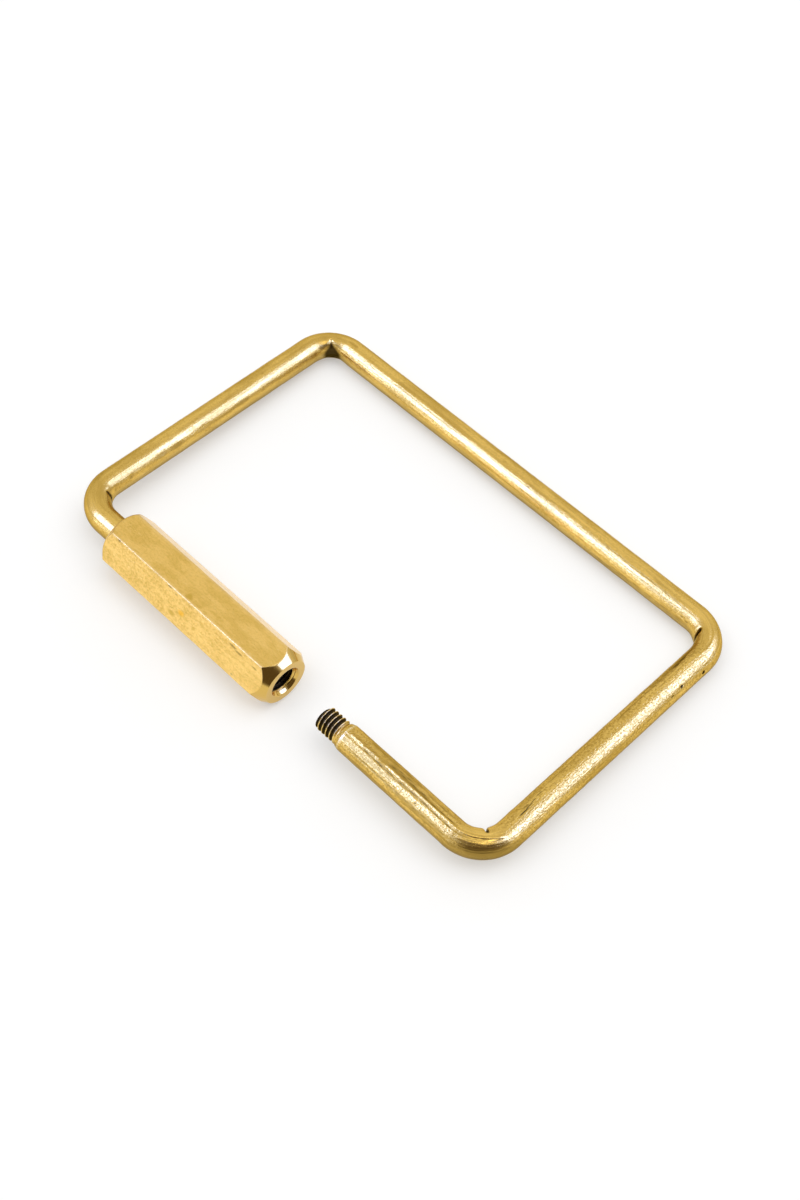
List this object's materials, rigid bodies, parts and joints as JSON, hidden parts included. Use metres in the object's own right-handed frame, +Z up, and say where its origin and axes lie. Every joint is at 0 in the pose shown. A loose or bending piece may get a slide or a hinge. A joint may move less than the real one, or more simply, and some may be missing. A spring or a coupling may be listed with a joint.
{
  "type": "key ring",
  "caption": "Rectangular brass wire key ring, closed by a hexagonal sleeve that screws across the gap between its threaded ends; shown open.",
  "frame": {"origin": "middle of the ring's outline seen from above, on the surface that the ring lies on", "axes": "+X along the long sides, from the sleeve to the short threaded end; +Y from the side with the sleeve to the far side; +Z up"},
  "size_m": [0.0962, 0.0653, 0.0095],
  "materials": {
    "wire_brass": "drawn wire, satin, lightly aged",
    "sleeve_brass": "drawn hexagonal bar, satin, lightly aged, turned ends"
  },
  "bodies": {
    "frame": {"wire_frame": "wire_brass"},
    "sleeve": {"hex_sleeve": "sleeve_brass"}
  },
  "joints": [
    {"name": "sleeve_slide", "type": "slide", "parent": "frame", "child": "sleeve", "axis": [1, 0, 0], "range_m": [0, 0.01349]}
  ]
}
